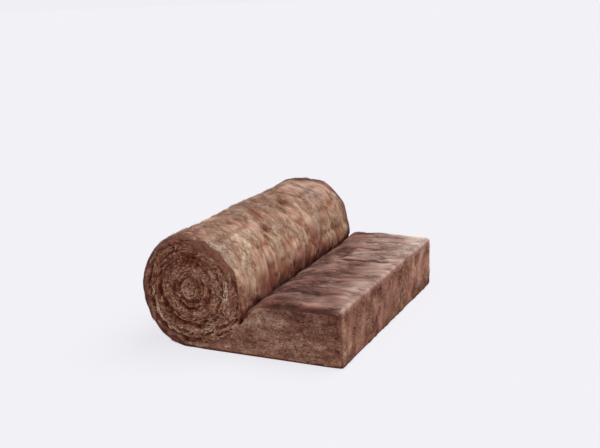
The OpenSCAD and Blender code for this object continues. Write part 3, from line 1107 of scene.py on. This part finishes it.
def end_strands(name, side, clumps, each, length, width, thick, lift=0.0015, stray=0.004, tone_shift=0.0,
                sides=3, own=0.11, k=4):
    """Strands of k points on one end, wound with the turns on the roll and level on the tail."""
    ring = shell[:, 0 if side < 0 else -1][:, [0, 2]]
    found = np.zeros((0, 2))
    while len(found) < clumps:
        q = np.stack([rng.uniform(low.x, high.x, clumps), rng.uniform(0, high.z, clumps)], -1)
        q = q[inside(q, ring)]
        found = np.concatenate([found, q[distance(q, ring) > 0.006]])
    cx, cz = np.repeat(found[:clumps], each, 0).T
    n = len(cx)
    _, _, tail, r = in_wool(cx, cz)
    size = length * rng.uniform(0.6, 1.3, n) * np.where(tail, 1.0, np.clip(r / 0.12, 0.35, 1.0))
    off = rng.normal(0, 0.005, n)
    slip = rng.normal(0, 0.35, n) * size
    h = rng.normal(0, 0.40, n) + np.repeat(rng.normal(0, 0.50, clumps), each)
    t = np.linspace(-0.5, 0.5, k)[None, :]
    wave = rng.normal(0, 0.03, (n, k)) * size[:, None]
    run = slip[:, None] + t * size[:, None]
    cross = off[:, None] + run * np.sin(h)[:, None] + wave
    rr = np.maximum(r[:, None] + cross, 0.003)
    turned = np.arctan2(cz - AXIS[1], cx - AXIS[0])[:, None] - run / np.maximum(r, 0.012)[:, None]
    x = np.where(tail[:, None], cx[:, None] + run * np.cos(h)[:, None], AXIS[0] + rr * np.cos(turned))
    z = np.where(tail[:, None], cz[:, None] + cross, AXIS[1] + rr * np.sin(turned))
    off_edge = distance(np.stack([x.ravel(), z.ravel()], -1), ring)
    kept = (inside(np.stack([x.ravel(), z.ravel()], -1), ring) & (off_edge > 0.003)).reshape(n, k).all(1)
    kept &= end_parts(cx, cz, side).patch < rng.uniform(0, 1.2, n)
    x, z, tail, off_edge = x[kept], z[kept], tail[kept], off_edge.reshape(n, k)[kept]
    n = len(x)
    depth = 0.001 + (end_depth(x, z, side) - 0.001) * smooth(0, 0.020, off_edge)
    depth = depth - lift * rng.uniform(-0.6, 1.0, (n, 1))
    depth = depth - np.abs(t) ** 2 * 4 * np.abs(rng.normal(0, stray, (n, 1)))
    paths = np.stack([x, side * (HALF_W - depth), z], -1)
    up = np.broadcast_to(np.array([0, side, 0.0]), paths.shape)
    wide, deep = width * rng.uniform(0.6, 1.3, n), thick * rng.uniform(0.7, 1.2, n)
    verts, faces, per = spindles(paths, wide, deep, up, sides)
    places, on_end = paths[:, k // 2], np.ones(n, bool)
    tone = tone_of(lay_of(places), places, on_end) + tone_shift
    tone = tone + rng.normal(0, own, n) * np.where(tail, 0.4, 1) + np.where(tail, 0.02, 0.05)
    dust = dust_of(places, on_end) * np.where(tail, 1, 0.6)
    finish_strands(name, verts, faces, per, verts, tone, dust, 0.6 * stain_of(places, on_end))


roll_first = int(np.argmax(along > 0.06))
roll_last = nip_row - 9
top_first = slot_end + 12
cut_first = int(np.argmax(kind == CUT))
cut_last = int(np.argmax(kind == FLOOR)) - 3
rim_first = int(np.argmax(wound[:, 0] > 165))
rim_last = int(np.argmax(wound[:, 0] > 278))

shell_strands("roll_locks", roll_first, roll_last, 1300, 4, 0.044, 0.0026, 0.0011, spread=0.25, lift=0.0012,
              stray=0.003, sides=4, k=5, clump_r=0.011, tone_shift=0.09, own=0.08)
shell_strands("roll_fibres", roll_first, roll_last, 1500, 10, 0.034, 0.0010, 0.0008, spread=0.30, lift=0.0018,
              stray=0.004, clump_r=0.014, tone_shift=0.09, own=0.09)
shell_strands("tail_locks", top_first, cut_first - 3, 170, 4, 0.044, 0.0024, 0.0009, spread=0.22, lift=0.0006,
              stray=0.002, sides=4, k=5, own=0.07)
shell_strands("tail_fibres", top_first, cut_first - 2, 420, 9, 0.050, 0.0009, 0.0007, spread=0.30,
              lift=0.0012, stray=0.003, own=0.09)
shell_strands("cut_end_fibres", cut_first + 1, cut_last, 450, 9, 0.026, 0.0010, 0.0008, spread=0.55,
              lift=0.0014, stray=0.002, heading=1.0, tone_shift=0.05, own=0.12)
shell_strands("near_rim_fringe", rim_first, rim_last, 170, 9, 0.024, 0.0012, 0.0009, spread=0.4, lift=0.002,
              stray=0.003, tone_shift=0.10, to_y=-HALF_W + 0.045)
end_strands("near_end_fibres", -1, 650, 6, 0.020, 0.0013, 0.0010, tone_shift=-0.03, own=0.06)
end_strands("far_end_fibres", 1, 800, 6, 0.018, 0.0011, 0.0009)
end_strands("near_end_crumbs", -1, 1200, 2, 0.024, 0.0038, 0.0022, lift=0.003, stray=0.001, tone_shift=-0.03,
            sides=4, own=0.06)


# ---- floor, light and camera
FLOOR_R = 80
FLOOR_SIDES = 64
FLOOR_DROP = 0.0005    # keeps the floor's face off the blanket's
GLOWING, LIT = (0.886, 0.876, 0.918, 1), (0.86, 0.855, 0.88, 1)
LIT_SHARE = 0.15
BACKDROP = (0.871, 0.863, 0.907, 1)
SKY_LIGHT = 0.20       # how strongly the backdrop lights the wool, against how it looks


def stage_floor():
    material, tree = nodes_of("studio_floor")
    glow = add(tree, "Emission", Strength=1.0)
    glow.inputs["Color"].default_value = GLOWING
    matt = add(tree, "BsdfDiffuse")
    matt.inputs["Color"].default_value = LIT
    mix = add(tree, "MixShader")
    mix.inputs[0].default_value = LIT_SHARE
    tree.links.new(glow.outputs[0], mix.inputs[1])
    tree.links.new(matt.outputs[0], mix.inputs[2])
    out = add(tree, "OutputMaterial")
    tree.links.new(mix.outputs[0], out.inputs["Surface"])
    mesh = bpy.data.meshes.new("studio_floor")
    turned = np.linspace(0, 2 * math.pi, FLOOR_SIDES, endpoint=False)
    ring = [(FLOOR_R * math.cos(a), FLOOR_R * math.sin(a), 0) for a in turned]
    mesh.from_pydata(ring, [], [list(range(FLOOR_SIDES))])
    mesh.materials.append(material)
    obj = bpy.data.objects.new("studio_floor", mesh)
    bpy.context.scene.collection.objects.link(obj)
    obj.location.z = -FLOOR_DROP


def towards(azimuth, elevation):
    """Direction of a view. Azimuth 0 comes from the front, 90 from the cut end."""
    a, e = math.radians(azimuth), math.radians(elevation)
    return Vector((math.sin(a) * math.cos(e), -math.cos(a) * math.cos(e), math.sin(e)))


def sun(name, azimuth, elevation, strength, spread, colour):
    """A soft light from far away."""
    light = bpy.data.lights.new(name, "SUN")
    light.energy = strength
    light.angle = math.radians(spread)
    light.color = colour
    obj = bpy.data.objects.new(name, light)
    obj.rotation_euler = towards(azimuth, elevation).to_track_quat("Z", "Y").to_euler()
    bpy.context.scene.collection.objects.link(obj)


stage_floor()
sun("light_above", 130, 62, 2.7, 50, (0.99, 0.99, 1.03))
sun("light_front", 10, 28, 1.0, 80, (1.0, 0.95, 0.90))

scene = bpy.context.scene
world = bpy.data.worlds.new("studio")
scene.world = world
world.use_nodes = True
background = world.node_tree.nodes["Background"]
background.inputs["Color"].default_value = BACKDROP
background.inputs["Strength"].default_value = 1.0
path = world.node_tree.nodes.new("ShaderNodeLightPath")
dim = world.node_tree.nodes.new("ShaderNodeMapRange")
dim.inputs["To Min"].default_value = SKY_LIGHT
dim.inputs["To Max"].default_value = 1.0
world.node_tree.links.new(path.outputs["Is Camera Ray"], dim.inputs["Value"])
world.node_tree.links.new(dim.outputs[0], background.inputs["Strength"])
scene.view_settings.view_transform = "Standard"

CAMERA_AT = (1.8425, -3.9092, 1.5774)
AZIMUTH, ELEVATION, TILT = 24.82, 14.71, math.radians(-2.10)
camera_data = bpy.data.cameras.new("camera")
camera_data.lens = 55.11
camera_data.sensor_width = 36
camera_data.clip_end = 300
camera = bpy.data.objects.new("camera", camera_data)
scene.collection.objects.link(camera)
back = towards(AZIMUTH, ELEVATION)
level = Vector((math.cos(math.radians(AZIMUTH)), math.sin(math.radians(AZIMUTH)), 0))
above = back.cross(level)
camera_x = math.cos(TILT) * level + math.sin(TILT) * above
camera_y = -math.sin(TILT) * level + math.cos(TILT) * above
camera.matrix_world = Matrix.Translation(CAMERA_AT) @ Matrix((camera_x, camera_y, back)).transposed().to_4x4()
scene.camera = camera
